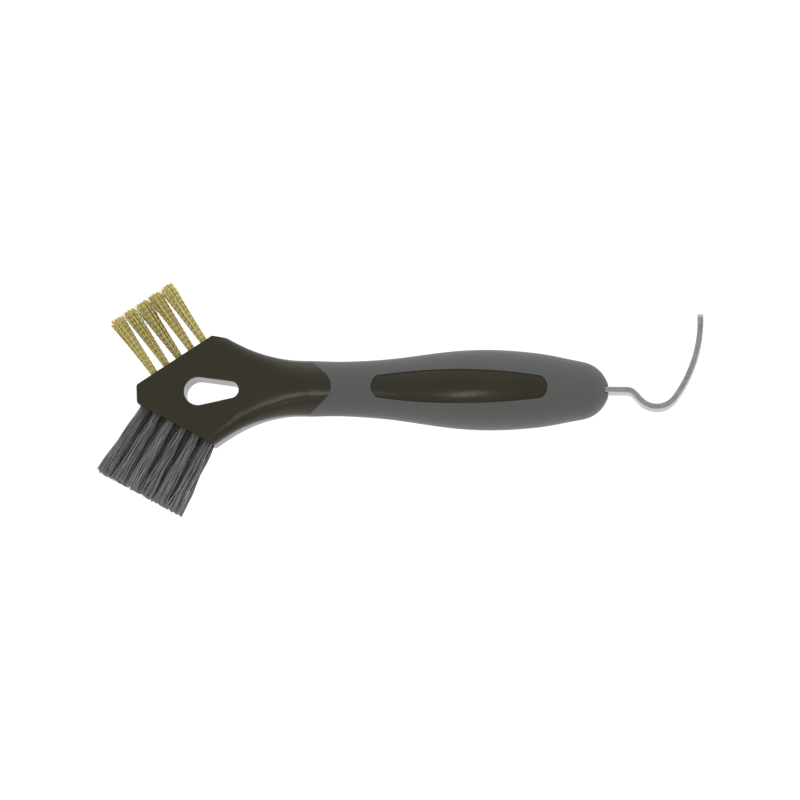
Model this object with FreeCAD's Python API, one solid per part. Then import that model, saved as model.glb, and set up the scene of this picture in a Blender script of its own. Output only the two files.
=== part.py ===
"""Hoof pick with two brushes.

A flat Y-shaped head carries a brass wire brush on one slanted face and a nylon brush on the other.
The head runs through a round neck into the core of the handle. A soft grip is moulded over the core,
with an oval window on each side, where the core shows. A bent steel strip, the pick, leaves the far
end of the handle. Nothing moves: the tufts are stapled, the grip is moulded on and the pick's tang
is moulded in.

The tool lies on its back. +X runs along the handle from the head to the pick, +Y is towards the brass
brush, +Z is up. The origin is at the bottom of the tool, in the middle of its footprint. Millimetres.
"""
import FreeCAD
import Part
import math
import os
from FreeCAD import Matrix, Vector

# ---- driving dimensions, with the handle's axis on X until the last step ----

# handle: the skin's stations along the axis, as (x, half width, half depth)
neck_station = (-26.0, 10.45, 7.9)
grip_stations = [
    (-14.0, 10.75, 8.5),
    (-2.0, 11.75, 9.3),
    (10.0, 13.4, 10.6),
    (21.0, 14.75, 11.6),
    (33.0, 15.35, 12.0),
    (46.0, 14.8, 11.6),
    (58.0, 13.3, 10.6),
    (67.0, 11.5, 9.4),
]
end_stations = [(72.0, 10.3, 8.5), (75.5, 8.2, 7.2), (78.0, 5.2, 5.4), (79.3, 2.4, 3.2)]
grip_squareness = 2.25    # exponent of the section's superellipse: 2 is an ellipse
section_points = 64

# head: drawn about its own axis, which is canted in the plane of the head
head_cant = 3.0           # degrees
cant_x = -34.6            # where the head's axis crosses the handle's
head_half_depth = 7.5
head_stations = [         # x, half depth and squareness of the head's and throat's sections
    (-110.0, 9.6, 8.0), (-102.0, 9.2, 8.0), (-94.0, 8.8, 8.0), (-86.0, 8.3, 8.0),
    (-78.0, 7.9, 8.0), (-71.0, 7.68, 8.0), (-64.0, 7.60, 7.2), (-58.0, 7.48, 5.8),
    (-52.0, 7.40, 4.4), (-46.0, 7.45, 3.3), (-40.0, 7.60, 2.6), (-34.0, 7.75, 2.35),
]
neck_half_width = 10.65
throat_arcs = {           # by side: where the arc starts, its radius, its turn; then straight on
    1: (-36.7, 57.0, 28.5),
    -1: (-37.3, 49.0, 34.5),
}
apex = -71.27             # where the two brush faces would meet
face_angle = 30.9         # degrees between a brush face and the head's axis
nose = -65.4
shoulders = {             # by side: distance from the apex along the face, slope of the land behind
    1: (41.1, 10.5),
    -1: (40.6, 29.0),
}
land = 12.0
throat_plane = -52.0      # the head's flats end before this, where the neck's sections are rounder
nose_round = 1.4
shoulder_round = 0.9
face_edge_round = 0.35

# hang hole, a drop shape on the head's axis
hang_big = (-41.9, 5.35)      # place along the head's axis, radius
hang_small = (-29.7, 3.2)
hang_rim_round = 0.45

# soft grip
tongue_x = -25.9          # the core's tongue ends here on the front and back
tongue_radius = 6.8
tongue_flank = 48.0       # degrees: where the tongue's arc runs out into straight flanks
tongue_side_y = 10.6
soft_wall = 2.8
root_station = (-38.0, 10.65, 7.6)    # starts the core's inside within the neck
tang_core_end = 71.0
window_mid_x = 22.8
window_half_length = 33.55
window_half_width = 6.55
window_end_half_width = 4.3
window_end_bulge = 2.4
window_corner = 2.2
window_sink = 0.4         # the core's face lies this far under the grip's surface

# pick: a flat strip, bent with its width standing across the head's plane
strip_width = 10.0
strip_thickness = 2.15
tip_width = 8.0
tip_thickness = 2.3
taper_start = 4.0         # y where the strip starts to narrow
tang_start = 38.0
straight_end = 86.25
first_bend = (4.4, -47.5)     # radius, turn in degrees
between_bends = 2.9
bottom_bend = (8.5, 102.0)
long_bend = (51.0, 38.8)
tip_trim = 0.3            # squares the end off
strip_edge_round = 0.4
tip_corner = 2.0
tang_hole_radius = 2.1
tang_holes = (46.0, 58.0)
slot_gap = 0.25           # air round the strip where it leaves the grip
trim_margin = 0.2         # keeps the cutter clear of the strip's flat sides

# brushes
row_pitch = 4.3           # between rows, across the head's depth
hole_depth = 7.0
tuft_gap = 0.05           # between a tuft and its hole's wall
brass = {
    "side": 1, "hole": 1.5, "pitch": 5.62, "middle": 26.2, "length": 26.4,
    "tip": (2.6, 2.15), "lean": 1.8, "fan": 0.0, "row_lean": 1.0, "counts": (5, 5, 5),
}
nylon = {
    "side": -1, "hole": 2.0, "pitch": 5.62, "middle": 23.85, "length": 29.6,
    "tip": (2.95, 2.4), "lean": 0.3, "fan": 1.0, "row_lean": 1.0, "counts": (6, 5, 6),
}
row_names = ("back", "middle", "front")
anchor_thickness = 0.4
anchor_height = 1.8
anchor_bite = 0.25        # into the wall at each side
anchor_lift = 1.0         # above the hole's bottom
far = 200.0               # past everything


# ---- the skin shared by the core and the grip ----

def superellipse(half_width, half_depth, squareness):
    """A closed curve in the plane X = 0, rounder or squarer than an ellipse."""
    points = []
    parameters = []
    for i in range(section_points):
        a = 2 * math.pi * i / section_points
        c = math.cos(a)
        s = math.sin(a)
        reach = (abs(c) ** squareness + abs(s) ** squareness) ** (-1 / squareness)
        points.append(Vector(0, half_width * reach * c, half_depth * reach * s))
        parameters.append(i / section_points)
    curve = Part.BSplineCurve()
    curve.interpolate(Points=points, PeriodicFlag=True, Parameters=parameters + [1.0])
    return Part.Wire([curve.toShape()])


def head_to_handle(shape):
    """Turns a shape drawn about the head's axis into the handle's frame."""
    placed = shape.copy()
    placed.rotate(Vector(0, 0, 0), Vector(0, 0, 1), head_cant)
    placed.translate(Vector(cant_x, 0, 0))
    return placed


def throat_reach(side, x):
    """How far the head's edge lies from the handle's axis at x, on the brass (1) or nylon (-1) side."""
    start, radius, turn = throat_arcs[side]
    run = start - x
    if run <= 0:
        return neck_half_width
    arc_run = radius * math.sin(math.radians(turn))
    if run <= arc_run:
        return neck_half_width + radius - math.sqrt(radius ** 2 - run ** 2)
    arc_rise = radius * (1 - math.cos(math.radians(turn)))
    return neck_half_width + arc_rise + (run - arc_run) * math.tan(math.radians(turn))


def head_sections():
    """Sections of the head from past the nose to the neck."""
    wires = []
    for x, half_depth, squareness in head_stations:
        reach = throat_reach(1, x)
        drop = throat_reach(-1, x)
        wire = superellipse((reach + drop) / 2, half_depth, squareness)
        wire.translate(Vector(x, (reach - drop) / 2, 0))
        wires.append(wire)
    return wires


def handle_sections(stations, inset=0.0):
    wires = []
    for x, half_width, half_depth in stations:
        wire = superellipse(half_width - inset, half_depth - inset, grip_squareness)
        wire.translate(Vector(x, 0, 0))
        wires.append(wire)
    return wires


def make_skin():
    stations = [neck_station] + grip_stations + end_stations
    loft = Part.makeLoft(head_sections() + handle_sections(stations), True, False)
    return loft.common(head_block())


def prism(edges, low=-far / 2, high=far / 2):
    """A closed outline in the plane of the head, as a solid from z low to high."""
    face = Part.Face(Part.Wire(Part.__sortEdges__(edges)))
    face.translate(Vector(0, 0, low))
    return face.extrude(Vector(0, 0, high - low))


def line(a, b):
    return Part.LineSegment(a, b).toShape()


def arc(a, middle, b):
    return Part.Arc(a, middle, b).toShape()


def polygon(points):
    closed = points + [points[0]]
    return [line(a, b) for a, b in zip(closed, closed[1:])]


def corner_edges(solid, points):
    """The edges of a prism that stand on the given points of its outline."""
    found = []
    for edge in solid.Edges:
        a = edge.Vertexes[0].Point
        b = edge.Vertexes[-1].Point
        if abs(a.z - b.z) < 1:
            continue
        if any(math.hypot(a.x - p.x, a.y - p.y) < 0.01 for p in points):
            found.append(edge)
    return found


def face_point(side, along):
    """A point on the brass (side 1) or nylon (side -1) face, along from the apex, in the head's frame."""
    a = math.radians(face_angle)
    return Vector(apex + along * math.cos(a), side * along * math.sin(a), 0)


def land_point(side):
    """The far end of the short land behind a shoulder, which leaves the throat's edge before it."""
    along, slope = shoulders[side]
    corner = face_point(side, along)
    a = math.radians(slope)
    return corner + Vector(land * math.cos(a), -side * land * math.sin(a), 0)


def head_block():
    """All that the nose, the brush faces, the shoulders and the flat front and back leave of the skin."""
    nose_along = (nose - apex) / math.cos(math.radians(face_angle))
    noses = {side: face_point(side, nose_along) for side in (1, -1)}
    tops = {side: face_point(side, shoulders[side][0]) for side in (1, -1)}
    corners = [
        noses[1], tops[1], land_point(1), Vector(0, far / 2, 0),
        Vector(0, -far / 2, 0), land_point(-1), tops[-1], noses[-1],
    ]
    block = prism(polygon(corners), -head_half_depth, head_half_depth)
    block = block.makeFillet(nose_round, corner_edges(block, [noses[1], noses[-1]]))
    block = block.makeFillet(shoulder_round, corner_edges(block, [tops[1], tops[-1]]))
    rims = [edge for edge in block.Edges if is_rim(edge) and edge.CenterOfMass.x < land_point(1).x - land / 2]
    block = block.makeFillet(face_edge_round, rims)
    rest = Part.makeBox(2 * far, far, far, Vector(throat_plane, -far / 2, -far / 2))
    return head_to_handle(block).fuse(rest)


def is_rim(edge):
    """Whether an edge lies in the head's flat front or back."""
    box = edge.BoundBox
    return box.ZLength < 0.001 and abs(abs(box.ZMin) - head_half_depth) < 0.001


def hang_hole():
    """The drop-shaped hole, right through the head."""
    big_u, big_r = hang_big
    small_u, small_r = hang_small
    lean = math.asin((big_r - small_r) / (small_u - big_u))
    top_big = Vector(big_u + big_r * math.sin(lean), big_r * math.cos(lean), 0)
    top_small = Vector(small_u + small_r * math.sin(lean), small_r * math.cos(lean), 0)
    low_big = Vector(top_big.x, -top_big.y, 0)
    low_small = Vector(top_small.x, -top_small.y, 0)
    edges = [
        arc(top_big, Vector(big_u - big_r, 0, 0), low_big),
        line(low_big, low_small),
        arc(low_small, Vector(small_u + small_r, 0, 0), top_small),
        line(top_small, top_big),
    ]
    return head_to_handle(prism(edges))


def drill_hang_hole(head):
    """Cuts the hang hole and rounds its rims."""
    before = [edge.CenterOfMass for edge in head.Edges if is_rim(edge)]
    drilled = head.cut(hang_hole())
    rims = []
    for edge in drilled.Edges:
        old = any(edge.CenterOfMass.distanceToPoint(point) < 0.01 for point in before)
        if is_rim(edge) and not old:
            rims.append(edge)
    return drilled.makeFillet(hang_rim_round, rims)


def grip_zone():
    """The grip's side of the seam, with the core's tongue let into it."""
    centre_x = tongue_x - tongue_radius
    a = math.radians(tongue_flank)
    flank_x = centre_x + tongue_radius * math.cos(a)
    flank_y = tongue_radius * math.sin(a)
    side_x = flank_x - (tongue_side_y - flank_y) * math.tan(a)
    corners = {}
    for side in (1, -1):
        corners[side] = [
            Vector(flank_x, side * flank_y, 0),
            Vector(side_x, side * tongue_side_y, 0),
            Vector(side_x, side * far / 4, 0),
            Vector(far, side * far / 4, 0),
        ]
    edges = [arc(corners[1][0], Vector(tongue_x, 0, 0), corners[-1][0])]
    for side in (1, -1):
        edges += [line(p, q) for p, q in zip(corners[side], corners[side][1:])]
    edges.append(line(corners[1][-1], corners[-1][-1]))
    return prism(edges)


def window():
    """The oval window's outline, as a solid through the whole handle."""
    end = window_half_length - window_end_bulge
    mid = window_mid_x
    corners = [
        Vector(mid - end, window_end_half_width, 0),
        Vector(mid + end, window_end_half_width, 0),
        Vector(mid + end, -window_end_half_width, 0),
        Vector(mid - end, -window_end_half_width, 0),
    ]
    edges = [
        arc(corners[0], Vector(mid, window_half_width, 0), corners[1]),
        arc(corners[1], Vector(mid + window_half_length, 0, 0), corners[2]),
        arc(corners[2], Vector(mid, -window_half_width, 0), corners[3]),
        arc(corners[3], Vector(mid - window_half_length, 0, 0), corners[0]),
    ]
    solid = prism(edges)
    return solid.makeFillet(window_corner, corner_edges(solid, corners))


# ---- the pick ----

def strip_path():
    """Stations of the strip's middle line: (point, heading in degrees, radius of the piece before it)."""
    point = Vector(tang_start, 0, 0)
    heading = 0.0
    path = [(point, heading, None)]
    pieces = [
        (straight_end - tang_start, 0.0, None),
        (None, first_bend[1], first_bend[0]),
        (between_bends, 0.0, None),
        (None, bottom_bend[1], bottom_bend[0]),
        (None, long_bend[1], long_bend[0]),
    ]
    for run, turn, radius in pieces:
        if radius is None:
            a = math.radians(heading)
            point = point + Vector(math.cos(a), math.sin(a), 0) * run
            path.append((point, heading, None))
            continue
        for half in (1, 2):
            a = math.radians(heading)
            b = math.radians(heading + turn / 2)
            side = math.copysign(radius, turn)
            centre = point + Vector(-math.sin(a), math.cos(a), 0) * side
            point = centre - Vector(-math.sin(b), math.cos(b), 0) * side
            heading += turn / 2
            path.append((point, heading, radius if half == 2 else "middle"))
    return path


def strip_side(path, side):
    """One edge of the strip, which thickens a little along the long bend."""
    points = []
    last = len(path) - 1
    for i, (point, heading, radius) in enumerate(path):
        share = {last: 1.0, last - 1: 0.5}.get(i, 0.0)
        half = (strip_thickness + (tip_thickness - strip_thickness) * share) / 2
        a = math.radians(heading)
        points.append(point + Vector(-math.sin(a), math.cos(a), 0) * half * side)
    edges = []
    for i in range(1, len(path)):
        if path[i][2] is None:
            edges.append(line(points[i - 1], points[i]))
        elif path[i][2] != "middle":
            edges.append(arc(points[i - 2], points[i - 1], points[i]))
    return edges, points


def strip_width_outline(tip_y):
    """The strip's width seen along X: full width low down, narrowing to the rounded tip."""
    half = strip_width / 2 + trim_margin
    tip_half = tip_width / 2
    corners = [
        Vector(0, -far / 4, -half), Vector(0, taper_start, -half), Vector(0, tip_y, -tip_half),
        Vector(0, tip_y, tip_half), Vector(0, taper_start, half), Vector(0, -far / 4, half),
    ]
    face = Part.Face(Part.Wire(polygon(corners)))
    solid = face.extrude(Vector(far, 0, 0))
    tips = [
        edge for edge in solid.Edges
        if edge.Length > far / 2 and abs(edge.Vertexes[0].Point.y - tip_y) < 0.01
    ]
    return solid.makeFillet(tip_corner, tips)


def make_pick():
    path = strip_path()
    upper, upper_points = strip_side(path, 1)
    lower, lower_points = strip_side(path, -1)
    ends = [line(upper_points[0], lower_points[0]), line(upper_points[-1], lower_points[-1])]
    strip = prism(upper + lower + ends, -strip_width / 2, strip_width / 2)
    tip_y = path[-1][0].y - tip_trim
    strip = strip.common(strip_width_outline(tip_y))
    rounded = []
    for edge in strip.Edges:
        box = edge.BoundBox
        across = box.ZLength > 2 * max(box.XLength, box.YLength)
        is_long = edge.Length > 1.5 * strip_thickness and box.XMin > tang_start + strip_thickness
        runs_along = is_long and not across
        if runs_along or (across and box.YMin > tip_y - 0.01):
            rounded.append(edge)
    strip = strip.makeFillet(strip_edge_round, rounded)
    for x in tang_holes:
        drill = Part.makeCylinder(
            tang_hole_radius, 4 * strip_thickness, Vector(x, -2 * strip_thickness, 0), Vector(0, 1, 0)
        )
        strip = strip.cut(drill)
    return strip


def pick_slot():
    """The slot in the grip's end, a little larger than the strip."""
    return Part.makeBox(
        straight_end - tang_core_end, strip_thickness + 2 * slot_gap, strip_width + 2 * slot_gap,
        Vector(tang_core_end, -strip_thickness / 2 - slot_gap, -strip_width / 2 - slot_gap),
    )


# ---- the brushes ----

def tuft_frame(brush, along, z):
    """Places a shape drawn with its hole's mouth at the origin and +Z out of the face."""
    a = math.radians(face_angle)
    side = brush["side"]
    outward = Vector(-math.sin(a), side * math.cos(a), 0)
    forward = Vector(math.cos(a), side * math.sin(a), 0)
    across = outward.cross(forward)
    mouth = face_point(side, along) + Vector(0, 0, z)
    return Matrix(
        forward.x, across.x, outward.x, mouth.x,
        forward.y, across.y, outward.y, mouth.y,
        forward.z, across.z, outward.z, mouth.z,
        0, 0, 0, 1,
    )


def tuft_places(brush):
    """(name of the row, number in the row, along, z, lean along the face, lean across the head)."""
    places = []
    for row, count in enumerate(brush["counts"]):
        level = row - 1
        for i in range(count):
            off_middle = i - (count - 1) / 2
            along = brush["middle"] + off_middle * brush["pitch"]
            lean = off_middle * brush["fan"] - brush["lean"]
            places.append((row_names[row], i + 1, along, level * row_pitch, lean, level * brush["row_lean"]))
    return places


def place(shape, matrix):
    placed = shape.copy()
    placed.Placement = FreeCAD.Placement(matrix)
    return head_to_handle(placed)


def anchor_box(brush):
    """A flat wire across the hole, which the tuft is folded over and which bites into the walls."""
    span = 2 * (brush["hole"] + anchor_bite)
    return Part.makeBox(
        span, anchor_thickness, anchor_height,
        Vector(-span / 2, -anchor_thickness / 2, anchor_lift - hole_depth),
    )


def tuft_solid(brush, lean, row_lean, across_sign):
    """A tuft from the hole's bottom to its spread tip, with a slot for its anchor."""
    radius = brush["hole"] - tuft_gap
    length = brush["length"]
    root = Part.makeCylinder(radius, hole_depth, Vector(0, 0, -hole_depth))
    mouth = Part.Wire([Part.makeCircle(radius)])
    half_along, half_across = brush["tip"]
    ellipse = Part.Ellipse(Vector(0, 0, 0), half_along, half_across).toShape()
    tip = Part.Wire([ellipse])
    tip.translate(Vector(
        length * math.tan(math.radians(lean)),
        across_sign * length * math.tan(math.radians(row_lean)),
        length,
    ))
    spread = Part.makeLoft([mouth, tip], True, True)
    return root.fuse(spread).removeSplitter().cut(anchor_box(brush))


def make_brush(brush):
    """Returns ({name: tuft}, [anchors], [hole drills])."""
    tufts = {}
    anchors = []
    drills = []
    for row, number, along, z, lean, row_lean in tuft_places(brush):
        frame = tuft_frame(brush, along, z)
        across_sign = 1 if frame.A32 > 0 else -1
        tufts[f"{row}_{number}"] = place(tuft_solid(brush, lean, row_lean, across_sign), frame)
        anchors.append(place(anchor_box(brush), frame))
        drill = Part.makeCylinder(brush["hole"], 2 * hole_depth, Vector(0, 0, -hole_depth))
        drills.append(place(drill, frame))
    return tufts, anchors, drills


# ---- the moulded pieces ----

def inner_core():
    """The core inside the grip."""
    stations = [neck_station] + grip_stations + end_stations[:1]
    loft = Part.makeLoft(handle_sections([root_station] + stations, soft_wall), True, False)
    keep = Part.makeBox(far, far, far, Vector(tang_core_end - far, -far / 2, -far / 2))
    return loft.common(keep)


def window_faces():
    """What of the core shows in the windows, a little under the grip's surface."""
    stations = [neck_station] + grip_stations + end_stations[:1]
    sunk = Part.makeLoft(handle_sections(stations, window_sink), True, False)
    return sunk.common(window())


def build():
    pick = make_pick()
    skin = make_skin()
    zone = grip_zone()
    inner = inner_core()
    brushes = {"brass_tuft": make_brush(brass), "nylon_tuft": make_brush(nylon)}

    grip = skin.common(zone).cut(window()).cut(inner).cut(pick_slot())
    core = drill_hang_hole(skin.cut(zone)).fuse([inner, window_faces()]).cut(pick)
    for tufts, anchors, drills in brushes.values():
        core = core.cut(drills).cut(anchors)

    parts = {"handle_core": core, "soft_grip": grip, "steel_pick": pick}
    for kind, (tufts, anchors, drills) in brushes.items():
        for name, tuft in tufts.items():
            parts[f"{kind}_{name}"] = tuft
        parts[f"{kind}_anchors"] = Part.makeCompound(anchors)
    return parts


def main():
    parts = build()
    box = Part.makeCompound(list(parts.values())).optimalBoundingBox(True, False)
    middle = Vector((box.XMin + box.XMax) / 2, (box.YMin + box.YMax) / 2, box.ZMin)
    print("size", round(box.XLength, 2), round(box.YLength, 2), round(box.ZLength, 2))
    print("the handle's axis crosses the origin's plane at", -middle)
    os.makedirs("parts", exist_ok=True)
    for name, shape in parts.items():
        shape.translate(-middle)
        solids = shape.Solids
        print(name, "solids", len(solids), "valid", shape.isValid(), "volume", round(shape.Volume, 1))
        out = solids[0] if len(solids) == 1 else Part.makeCompound(solids)
        out.exportStep(f"parts/{name}.step")


main()
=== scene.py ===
import bpy
import math
import random
from mathutils import Matrix, Vector


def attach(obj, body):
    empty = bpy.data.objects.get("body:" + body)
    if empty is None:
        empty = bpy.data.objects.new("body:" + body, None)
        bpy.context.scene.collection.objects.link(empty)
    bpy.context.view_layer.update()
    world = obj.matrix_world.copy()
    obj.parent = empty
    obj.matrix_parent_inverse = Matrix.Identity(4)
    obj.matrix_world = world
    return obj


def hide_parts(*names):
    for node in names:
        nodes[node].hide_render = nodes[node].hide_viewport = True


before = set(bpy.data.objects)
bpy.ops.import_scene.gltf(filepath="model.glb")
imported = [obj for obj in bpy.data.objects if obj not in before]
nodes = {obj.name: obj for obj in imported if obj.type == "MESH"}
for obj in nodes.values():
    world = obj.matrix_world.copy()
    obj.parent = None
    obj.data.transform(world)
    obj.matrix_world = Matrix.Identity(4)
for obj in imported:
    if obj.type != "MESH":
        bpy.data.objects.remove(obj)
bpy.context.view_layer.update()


class Value:
    # wraps one node output, so that node maths reads as ordinary expressions
    def __init__(self, maker, socket):
        self.maker = maker
        self.socket = socket

    def math(self, operation, *others):
        sockets = dict(enumerate((self,) + others))
        return self.maker.node("ShaderNodeMath", {"operation": operation}, sockets)

    def __add__(self, other):
        return self.math("ADD", other)

    def __sub__(self, other):
        return self.math("SUBTRACT", other)

    def __mul__(self, other):
        return self.math("MULTIPLY", other)

    def __truediv__(self, other):
        return self.math("DIVIDE", other)

    def __pow__(self, other):
        return self.math("POWER", other)

    def __rsub__(self, other):
        return self.maker.node("ShaderNodeMath", {"operation": "SUBTRACT"}, {0: other, 1: self})

    __radd__ = __add__
    __rmul__ = __mul__


class Maker:
    def __init__(self, tree):
        self.tree = tree
        tree.nodes.clear()

    # settings are set first, then the sockets get their values or links
    def node(self, kind, settings=None, sockets=None, out=0):
        made = self.tree.nodes.new(kind)
        for name, value in (settings or {}).items():
            setattr(made, name, value)
        for name, value in (sockets or {}).items():
            if isinstance(value, Value):
                self.tree.links.new(value.socket, made.inputs[name])
            else:
                made.inputs[name].default_value = value
        return Value(self, made.outputs[out]) if made.outputs else None

    def mixColour(self, factor, a, b):
        first, second = (c if isinstance(c, Value) else (*c, 1.0) for c in (a, b))
        return self.node("ShaderNodeMix", {"data_type": "RGBA"}, {0: factor, 6: first, 7: second}, out=2)

    def remap(self, value, low, high, toLow, toHigh):
        sockets = {0: value, 1: low, 2: high, 3: toLow, 4: toHigh}
        return self.node("ShaderNodeMapRange", {"clamp": True}, sockets)


def newMaterial(name):
    material = bpy.data.materials.new(name)
    material.use_nodes = True
    return material, Maker(material.node_tree)


def finishMaterial(maker, sockets):
    shader = maker.node("ShaderNodeBsdfPrincipled", None, sockets)
    maker.node("ShaderNodeOutputMaterial", None, {"Surface": shader})


def objectPlace(maker):
    return maker.node("ShaderNodeTexCoord", out=3)


def noise(maker, place, size, detail=3.0, roughness=0.5):
    sockets = {"Vector": place, "Scale": 1.0 / size, "Detail": detail, "Roughness": roughness}
    return maker.node("ShaderNodeTexNoise", None, sockets)


def bump(maker, height, depth):
    return maker.node("ShaderNodeBump", None, {"Strength": 1.0, "Distance": depth, "Height": height})


def shades(colour, amount):
    return [tuple(c * (1 + k * amount) for c in colour) for k in (-1, 1)]


corePlastic = {
    "colour": (0.0275, 0.0228, 0.0098),
    "mottle": 0.06,              # how far the colour wanders
    "roughness": (0.19, 0.23),
    "flowSize": 0.018,           # metres
    "grainSize": 0.00035,
    "grainDepth": 0.000004,
    "specular": 0.42,
    "sheen": 0.0,
}

gripRubber = {
    "colour": (0.104, 0.109, 0.103),
    "mottle": 0.04,
    "roughness": (0.60, 0.72),
    "flowSize": 0.018,
    "grainSize": 0.00022,
    "grainDepth": 0.000009,
    "specular": 0.35,
    "sheen": 0.16,
}


def makeMoulding(name, look):
    material, maker = newMaterial(name)
    place = objectPlace(maker)
    broad = noise(maker, place, look["flowSize"], 2.0)             # slow flow marks
    grain = noise(maker, place, look["grainSize"], 4.0, 0.62)      # the mould's eroded texture
    dark, light = shades(look["colour"], look["mottle"])
    spots = maker.remap(broad * 0.7 + grain * 0.3, 0.35, 0.65, 0.0, 1.0)
    low, high = look["roughness"]
    sockets = {
        "Base Color": maker.mixColour(spots, dark, light),
        "Roughness": maker.remap(broad * 0.5 + grain * 0.5, 0.35, 0.65, low, high),
        "Normal": bump(maker, grain, look["grainDepth"]),
        "Specular IOR Level": look["specular"],
        "Sheen Weight": look["sheen"],
        "Sheen Roughness": 0.5,
    }
    finishMaterial(maker, sockets)
    return material


pickSteel = {
    "light": (0.50, 0.50, 0.49),
    "dark": (0.31, 0.31, 0.305),
    "pitColour": (0.10, 0.10, 0.10),
    "pitShade": 0.3,             # how much a pit darkens the metal
    "roughness": (0.26, 0.40),
    "patchSize": 0.004,          # metres
    "speckSize": 0.0005,
    "pitSize": 0.000225,
    "speckDepth": 0.00004,
}


def makeSteel(name, look):
    material, maker = newMaterial(name)
    place = objectPlace(maker)
    specks = noise(maker, place, look["speckSize"], 5.0, 0.7)
    patches = noise(maker, place, look["patchSize"], 3.0, 0.6)
    pits = maker.remap(noise(maker, place, look["pitSize"], 2.0), 0.58, 0.70, 0.0, 1.0)
    tone = maker.remap(specks * 0.6 + patches * 0.4, 0.38, 0.62, 0.0, 1.0)
    low, high = look["roughness"]
    colour = maker.mixColour(tone, look["dark"], look["light"])
    sockets = {
        "Base Color": maker.mixColour(pits * look["pitShade"], colour, look["pitColour"]),
        "Metallic": 1.0,
        "Roughness": maker.remap(specks, 0.35, 0.65, low, high),
        "Normal": bump(maker, specks - pits * 0.6, look["speckDepth"]),
    }
    finishMaterial(maker, sockets)
    return material


brassWire = {
    "light": (1.0, 0.94, 0.42),
    "dark": (0.62, 0.45, 0.12),
    "roughness": (0.22, 0.34),
    "metallic": 0.40,
    "crimps": 13.0,              # painted light and shade bands up each wire, about one per crimp
    # how strongly the painted crimp light and shade shows
    "paintedCrimpShade": 0.24,
    "tipShade": 0.10,            # how much lighter the tips are
    "streakSize": 0.0007,
}

nylonFibre = {
    "light": (0.32, 0.32, 0.32),
    "dark": (0.030, 0.030, 0.030),
    "roughness": (0.30, 0.48),
    "metallic": 0.0,
    "crimps": 0.0,
    "paintedCrimpShade": 0.0,
    "tipShade": 0.24,
    "streakSize": 0.0007,
}


def makeWire(name, look):
    # tone is each wire's own shade, along runs from its foot to its tip
    material, maker = newMaterial(name)
    tone = maker.node("ShaderNodeAttribute", {"attribute_name": "tone"}, out=2)
    along = maker.node("ShaderNodeAttribute", {"attribute_name": "along"}, out=2)
    streaks = noise(maker, objectPlace(maker), look["streakSize"], 2.0)
    # painted shading: a sine up each wire lightens and darkens it in bands, standing in for light and shade
    # on the crimps
    paintedCrimpShading = (along * (2 * math.pi * look["crimps"]) + tone * 4.0).math("SINE")
    shade = tone * 0.5 + streaks * 0.4 + along * look["tipShade"] + paintedCrimpShading * look["paintedCrimpShade"]
    shade = maker.remap(shade, 0.10, 0.70, 0.0, 1.0)
    low, high = look["roughness"]
    sockets = {
        "Base Color": maker.mixColour(shade, look["dark"], look["light"]),
        "Metallic": look["metallic"],
        "Roughness": maker.remap(streaks, 0.3, 0.7, low, high),
    }
    finishMaterial(maker, sockets)
    return material


def setFinish(node, material):
    for slot in nodes[node].material_slots:
        slot.material = material


finishes = {
    "core": makeMoulding("oliveMoulding", corePlastic),
    "grip": makeMoulding("greySoftGrip", gripRubber),
    "steel": makeSteel("tumbledSteel", pickSteel),
    "brass": makeWire("crimpedBrass", brassWire),
    "nylon": makeWire("darkNylon", nylonFibre),
}
setFinish("handle_core", finishes["core"])
setFinish("soft_grip", finishes["grip"])
for node in ("steel_pick", "brass_tuft_anchors", "nylon_tuft_anchors"):
    setFinish(node, finishes["steel"])
print("finishes made:", len(finishes))


brushes = {
    "brass": {
        "outward": 123.9,        # degrees from +X, square to the brush face
        "slot": "brass_wire",
        "wires": 70,
        "steps": 29,
        "stepsPerWave": 2.0,     # a crimp is a sharp zigzag
        "phaseSpread": 0.0,
        "waveHeight": 0.00010,
        "waveTurn": 0.35,        # how far the crimps' direction wanders, radians
        "wireRadius": 0.00014,
        "shorter": 0.0009,       # the most that a wire falls short
        "splay": 0.0011,
        "stray": 0.0016,
        "sink": 0.002,           # starts this far down its hole
        "lean": 0.0005,          # how far a whole tuft's tip strays sideways
    },
    "nylon": {
        "outward": -117.9,
        "slot": "nylon_fibre",
        "wires": 62,
        "steps": 17,
        "stepsPerWave": 7.5,
        "phaseSpread": 1.0,
        "waveHeight": 0.00024,
        "waveTurn": 3.1,
        "wireRadius": 0.00021,
        "shorter": 0.0009,
        "splay": 0.0008,
        "stray": 0.0012,
        "sink": 0.002,
        "lean": 0.0003,
    },
}
holeDepth = 0.007            # a tuft's solid starts this far down in the head
footMargin = 0.0001          # corners this near an end belong to it
goldenAngle = 2.39996
fullTurn = 6.283
quarterTurn = 1.5708

tuftInputs = {
    "wires": "Int", "steps": "Int", "stepsPerWave": "Float", "phaseSpread": "Float",
    "waveHeight": "Float", "waveTurn": "Float", "waveFacing": "Float", "wireRadius": "Float",
    "shorter": "Float", "splay": "Float", "stray": "Float", "sink": "Float",
    "length": "Float", "footRadius": "Float", "tipAlong": "Float", "tipAcross": "Float",
    "leanAlong": "Float", "leanAcross": "Float", "seed": "Int",
}


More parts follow.
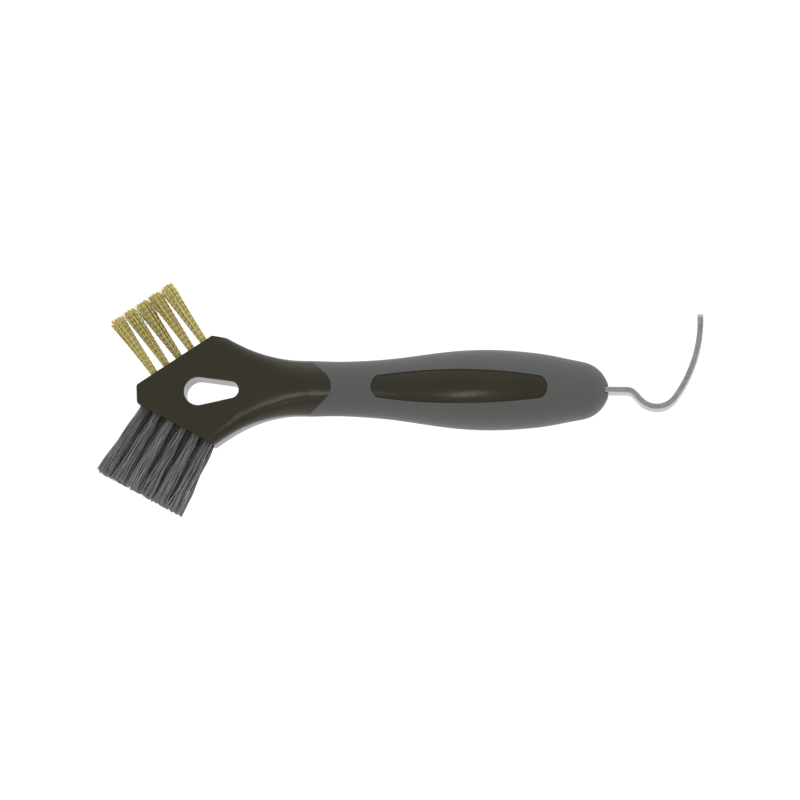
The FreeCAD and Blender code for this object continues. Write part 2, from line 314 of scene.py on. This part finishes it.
def makeTuftTree():
    tree = bpy.data.node_groups.new("tuftOfWires", "GeometryNodeTree")
    tree.is_modifier = True
    maker = Maker(tree)
    identifiers = {}
    tree.interface.new_socket("Geometry", in_out="OUTPUT", socket_type="NodeSocketGeometry")
    for name, kind in tuftInputs.items():
        made = tree.interface.new_socket(name, in_out="INPUT", socket_type="NodeSocket" + kind)
        identifiers[name] = made.identifier
    made = tree.interface.new_socket("material", in_out="INPUT", socket_type="NodeSocketMaterial")
    identifiers["material"] = made.identifier
    group = tree.nodes.new("NodeGroupInput")
    given = {name: Value(maker, group.outputs[name]) for name in list(tuftInputs) + ["material"]}

    index = maker.node("GeometryNodeInputIndex")
    wire = ((index + 0.5) / given["steps"]).math("FLOOR")
    step = index - wire * given["steps"]

    def chance(salt, low=0.0, high=1.0):
        sockets = {2: low, 3: high, "ID": wire, "Seed": given["seed"] * 31 + salt}
        return maker.node("FunctionNodeRandomValue", {"data_type": "FLOAT"}, sockets, out=1)

    # feet fill the hole like the seeds of a sunflower, each a little off its place
    out = ((wire + 0.5) / given["wires"]).math("SQRT")
    turn = wire * goldenAngle + chance(1, -0.25, 0.25)
    east = out * turn.math("COSINE")
    north = out * turn.math("SINE")

    part = step / (given["steps"] - 1.0)
    reach = given["length"] - given["shorter"] * chance(2)
    height = part * (reach + given["sink"]) - given["sink"]
    above = height.math("MAXIMUM", 0.0) / given["length"]
    bend = above * above
    phase = chance(3) * given["phaseSpread"] * fullTurn + quarterTurn
    wave = (step * fullTurn / given["stepsPerWave"] + phase).math("SINE")
    facing = given["waveFacing"] + chance(4, -1.0, 1.0) * given["waveTurn"]
    wild = chance(5) ** 7.0 * given["stray"]     # only a few wires stray far
    way = chance(6, 0.0, fullTurn)

    def side(centre, foot, tip, lean, salt, trig):
        straight = centre * foot + above * (centre * (tip - foot) + lean)
        loose = bend * (chance(salt, -1.0, 1.0) * given["splay"] * 0.5 + wild * way.math(trig))
        return straight + loose + wave * given["waveHeight"] * facing.math(trig)

    spot = maker.node("ShaderNodeCombineXYZ", None, {
        "X": side(east, given["footRadius"], given["tipAlong"], given["leanAlong"], 7, "COSINE"),
        "Y": side(north, given["footRadius"], given["tipAcross"], given["leanAcross"], 8, "SINE"),
        "Z": height,
    })
    count = given["wires"] * given["steps"]
    points = maker.node("GeometryNodePoints", None, {"Count": count, "Position": spot})
    for name, field in (("tone", chance(9)), ("along", above)):
        points = maker.node(
            "GeometryNodeStoreNamedAttribute", {"data_type": "FLOAT", "domain": "POINT"},
            {"Geometry": points, "Name": name, "Value": field},
        )
    strands = maker.node("GeometryNodePointsToCurves", None, {0: points, 1: wire, 2: step})
    sockets = {"Resolution": 3, "Radius": given["wireRadius"]}
    ring = maker.node("GeometryNodeCurvePrimitiveCircle", {"mode": "RADIUS"}, sockets)
    sockets = {"Curve": strands, "Profile Curve": ring, "Fill Caps": True}
    solid = maker.node("GeometryNodeCurveToMesh", None, sockets)
    smooth = maker.node("GeometryNodeSetShadeSmooth", None, {"Geometry": solid})
    real = maker.node("GeometryNodeRealizeInstances", None, {"Geometry": smooth})
    painted = maker.node("GeometryNodeSetMaterial", None, {"Geometry": real, "Material": given["material"]})
    maker.node("NodeGroupOutput", None, {"Geometry": painted})
    return tree, identifiers


def directions(outward):
    a = math.radians(outward)
    up = Vector((math.cos(a), math.sin(a), 0.0))
    towardsHandle = Vector((abs(up.y), -up.x * math.copysign(1.0, up.y), 0.0))
    return towardsHandle, up.cross(towardsHandle), up


def measureTuft(node, outward):
    # the foot, tip and half sizes of a tuft, from its solid
    along, across, up = directions(outward)
    corners = [v.co for v in nodes[node].data.vertices]
    heights = [c.dot(up) for c in corners]
    low, high = min(heights), max(heights)
    foot = [c for c, h in zip(corners, heights) if h < low + footMargin]
    tip = [c for c, h in zip(corners, heights) if h > high - footMargin]

    def middle(points, axis):      # and half the spread
        values = [p.dot(axis) for p in points]
        return (min(values) + max(values)) / 2, (max(values) - min(values)) / 2

    mouth = low + holeDepth
    footAlong = middle(foot, along)[0]
    footAcross, footRadius = middle(foot, across)
    tipAlong, halfAlong = middle(tip, along)
    tipAcross, halfAcross = middle(tip, across)
    place = Matrix((along, across, up)).transposed().to_4x4()
    place.translation = along * footAlong + across * footAcross + up * mouth
    sizes = {
        "length": high - mouth, "footRadius": footRadius, "tipAlong": halfAlong, "tipAcross": halfAcross,
        "leanAlong": tipAlong - footAlong, "leanAcross": tipAcross - footAcross,
    }
    return place, sizes


def makeTuft(node, name, kind, tree, identifiers, seed):
    brush = brushes[kind]
    place, sizes = measureTuft(node, brush["outward"])
    sizes["footRadius"] -= brush["wireRadius"] + brush["waveHeight"]
    sizes["tipAlong"] -= brush["wireRadius"]
    sizes["tipAcross"] -= brush["wireRadius"]
    sizes["leanAlong"] += brush["lean"] * leaning.uniform(-1.0, 1.0)
    holder = bpy.data.objects.new(name, bpy.data.meshes.new(name))
    bpy.context.scene.collection.objects.link(holder)
    modifier = holder.modifiers.new("wires", "NODES")
    modifier.node_group = tree
    values = {**brush, **sizes, "seed": seed, "waveFacing": 0.4 * seed}
    for setting in tuftInputs:
        modifier[identifiers[setting]] = values[setting]
    modifier[identifiers["material"]] = finishes[kind]
    graph = bpy.context.evaluated_depsgraph_get()
    made = holder.evaluated_get(graph)
    mesh = bpy.data.meshes.new_from_object(made, preserve_all_data_layers=True, depsgraph=graph)
    holder.modifiers.clear()
    mesh.transform(place)
    holder.data = mesh
    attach(holder, "root")
    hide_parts(node)
    return holder


leaning = random.Random(11)
tuftTree, tuftSockets = makeTuftTree()
tuftNodes = sorted(n for n in nodes if "_tuft_" in n and not n.endswith("anchors"))
triangles = 0
for number, node in enumerate(tuftNodes):
    kind = node.split("_")[0]
    wires = makeTuft(node, node.replace("tuft", "wires"), kind, tuftTree, tuftSockets, number + 1)
    triangles += sum(len(p.vertices) - 2 for p in wires.data.polygons)
print("tufts made:", len(tuftNodes), "triangles", triangles)


studio = {
    "floorHalf": 2.0,            # metres
    "floorHeight": -0.0004,      # just under the part
    "floorGlow": 1.04,
    "floorColour": (0.12, 0.12, 0.12),
    "overhead": 0.46,            # the surroundings' brightness straight above
    "horizon": 1.15,
    "fade": (0.15, 0.95),        # heights between which one turns into the other
    "backLight": 0.35,           # how much brighter on the brass brush's side
    "panels": [                  # name, place, size, watts
        ("window", (-0.080, -0.09, 0.90), (0.05, 0.18), 0.22),
        ("lowWindow", (-0.010, -0.40, 0.90), (0.06, 0.06), 0.06),
    ],
}

view = {
    "target": (-0.0001, 0.0007, 0.0116),
    "camera": (0.0868, -0.2458, 1.7945),
    "roll": 0.82,                # degrees
    "fieldWidth": 0.3047,        # metres across at the target
}


def makeFloor():
    mesh = bpy.data.meshes.new("floor")
    h = studio["floorHalf"]
    z = studio["floorHeight"]
    mesh.from_pydata([(-h, -h, z), (h, -h, z), (h, h, z), (-h, h, z)], [], [(0, 1, 2, 3)])
    floor = bpy.data.objects.new("floor", mesh)
    bpy.context.scene.collection.objects.link(floor)
    material, maker = newMaterial("paleFloor")
    finishMaterial(maker, {
        "Base Color": (*studio["floorColour"], 1.0), "Roughness": 0.9, "Specular IOR Level": 0.0,
        "Emission Color": (1.0, 1.0, 1.0, 1.0), "Emission Strength": studio["floorGlow"],
    })
    mesh.materials.append(material)


def makeWorld():
    world = bpy.data.worlds.new("studio")
    world.use_nodes = True
    bpy.context.scene.world = world
    maker = Maker(world.node_tree)
    direction = maker.node("ShaderNodeTexCoord", out=0)
    upward = maker.node("ShaderNodeSeparateXYZ", None, {"Vector": direction}, out=2)
    backward = maker.node("ShaderNodeSeparateXYZ", None, {"Vector": direction}, out=1)
    low, high = studio["fade"]
    glow = maker.remap(upward, low, high, studio["horizon"], studio["overhead"])
    glow = glow + backward.math("MAXIMUM", 0.0) * studio["backLight"]
    background = maker.node("ShaderNodeBackground", None, {"Color": (1.0, 1.0, 1.0, 1.0), "Strength": glow})
    maker.node("ShaderNodeOutputWorld", None, {"Surface": background})


def makePanel(name, place, size, power):
    light = bpy.data.lights.new(name, "AREA")
    light.shape = "RECTANGLE"
    light.size, light.size_y = size
    light.energy = power
    panel = bpy.data.objects.new(name, light)
    bpy.context.scene.collection.objects.link(panel)
    panel.location = place
    aim = Vector(view["target"]) - Vector(place)
    panel.rotation_euler = aim.to_track_quat("-Z", "Y").to_euler()


def makeCamera():
    data = bpy.data.cameras.new("camera")
    camera = bpy.data.objects.new("camera", data)
    bpy.context.scene.collection.objects.link(camera)
    place, target = Vector(view["camera"]), Vector(view["target"])
    back = (place - target).normalized()
    right = Vector((0.0, 1.0, 0.0)).cross(back).normalized()
    turn = Matrix((right, back.cross(right), back)).transposed().to_4x4()
    roll = Matrix.Rotation(math.radians(view["roll"]), 4, "Z")
    camera.matrix_world = Matrix.Translation(place) @ turn @ roll
    data.sensor_width = 36.0
    data.lens = 36.0 * (place - target).length / view["fieldWidth"]
    data.clip_start = 0.01
    bpy.context.scene.camera = camera


makeFloor()
makeWorld()
for name, place, size, power in studio["panels"]:
    makePanel(name, place, size, power)
makeCamera()
bpy.context.scene.view_settings.view_transform = "Standard"
print("studio made")
